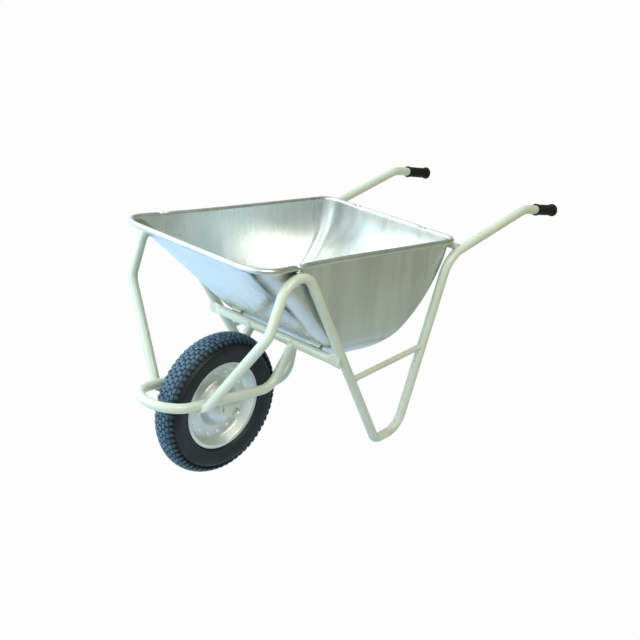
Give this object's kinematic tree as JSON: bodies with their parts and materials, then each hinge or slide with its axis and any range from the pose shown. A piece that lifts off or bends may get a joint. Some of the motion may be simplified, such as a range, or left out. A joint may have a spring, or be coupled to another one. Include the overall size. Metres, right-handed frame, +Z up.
{
  "type": "single-wheel wheelbarrow",
  "caption": "Builder's wheelbarrow: pressed steel tray on a bent tube frame, one pneumatic wheel in a hoop, splayed legs and drooped grips.",
  "frame": {"origin": "middle of the footprint, on the ground", "axes": "+X from the wheel to the grips, +Y to the user's right, +Z up"},
  "size_m": [1.3476, 0.5446, 0.6563],
  "materials": {
    "frame_paint": "glossy ivory-grey paint with light wear",
    "tray_steel": "bright zinc-coated pressed sheet with fine drawn streaks",
    "wheel_steel": "silver zinc-coated pressing",
    "zinc": "bright zinc plate",
    "bearing_steel": "ground steel",
    "tyre_rubber": "moulded black rubber with block tread",
    "tube_rubber": "smooth butyl rubber",
    "grip_plastic": "black moulded plastic"
  },
  "bodies": {
    "frame": {"tray": "tray_steel", "left_side_rim_bolt": "zinc", "left_side_rim_nut": "zinc", "left_side_rim_spacer": "zinc", "left_rear_rim_bolt": "zinc", "left_rear_rim_nut": "zinc", "right_side_rim_bolt": "zinc", "right_side_rim_nut": "zinc", "right_side_rim_spacer": "zinc", "right_rear_rim_bolt": "zinc", "right_rear_rim_nut": "zinc", "axle": "zinc", "bearing_spacer_sleeve": "zinc", "left_axle_spacer": "zinc", "left_axle_washer": "zinc", "left_axle_nut": "zinc", "left_bearing_inner_race": "bearing_steel", "right_axle_spacer": "zinc", "right_axle_washer": "zinc", "right_axle_nut": "zinc", "right_bearing_inner_race": "bearing_steel", "wheel_hoop": "frame_paint", "front_crossbar": "frame_paint", "rear_crossbar": "frame_paint", "left_frame_tube": "frame_paint", "left_leg_brace": "frame_paint", "left_axle_bracket": "frame_paint", "right_frame_tube": "frame_paint", "right_leg_brace": "frame_paint", "right_axle_bracket": "frame_paint", "left_tray_pad": "frame_paint", "right_tray_pad": "frame_paint", "left_grip": "grip_plastic", "right_grip": "grip_plastic"},
    "wheel": {"left_bearing_outer_race": "bearing_steel", "right_bearing_outer_race": "bearing_steel", "left_wheel_half": "wheel_steel", "right_wheel_half": "wheel_steel", "tyre": "tyre_rubber", "inner_tube": "tube_rubber", "valve_stem": "tube_rubber", "valve_cap": "grip_plastic", "wheel_rivet_1": "zinc", "wheel_rivet_2": "zinc", "wheel_rivet_3": "zinc", "wheel_rivet_4": "zinc", "wheel_rivet_5": "zinc", "wheel_rivet_6": "zinc", "wheel_rivet_7": "zinc", "wheel_rivet_8": "zinc", "wheel_rivet_9": "zinc", "wheel_rivet_10": "zinc", "wheel_rivet_11": "zinc", "wheel_rivet_12": "zinc", "wheel_rivet_13": "zinc", "wheel_rivet_14": "zinc", "wheel_rivet_15": "zinc", "wheel_rivet_16": "zinc"}
  },
  "joints": [
    {"name": "wheel_spin", "type": "hinge", "parent": "frame", "child": "wheel", "pos_m": [-0.44234, 0, 0.19], "axis": [0, 1, 0], "continuous": true}
  ]
}
